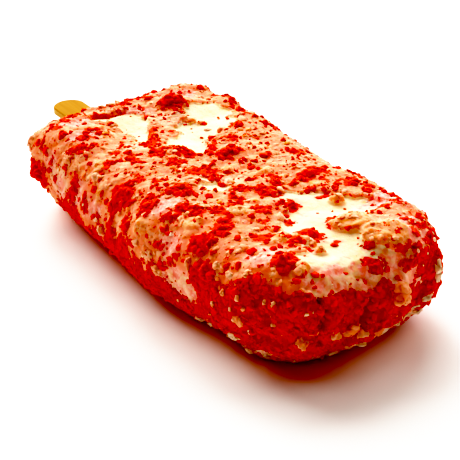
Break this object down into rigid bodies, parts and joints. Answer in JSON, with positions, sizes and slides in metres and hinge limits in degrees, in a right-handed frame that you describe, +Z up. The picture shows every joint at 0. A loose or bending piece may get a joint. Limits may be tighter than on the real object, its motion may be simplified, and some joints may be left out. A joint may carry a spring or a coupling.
{
  "type": "freeze-dried ice cream bar",
  "caption": "Freeze-dried ice cream bar lying flat: a rounded slab in a coat of red and tan cake crumbs, with a short flat wooden stick at one end.",
  "frame": {"origin": "middle of the footprint of bar and stick, on the surface that the bar lies on", "axes": "+X from the stick's free end to the bar's rounded tip, +Z up out of the shown face"},
  "size_m": [0.124, 0.0524, 0.023],
  "materials": {
    "crumb_coat": "dry, matt, porous",
    "red_crumb": "dry, matt",
    "biscuit_crumb": "dry, matt",
    "ice_cream": "dry, matt, foamy",
    "stick_wood": "bare sawn wood"
  },
  "bodies": {
    "root": {"ice_cream_bar": "crumb_coat", "wooden_stick": "stick_wood"}
  },
  "joints": []
}
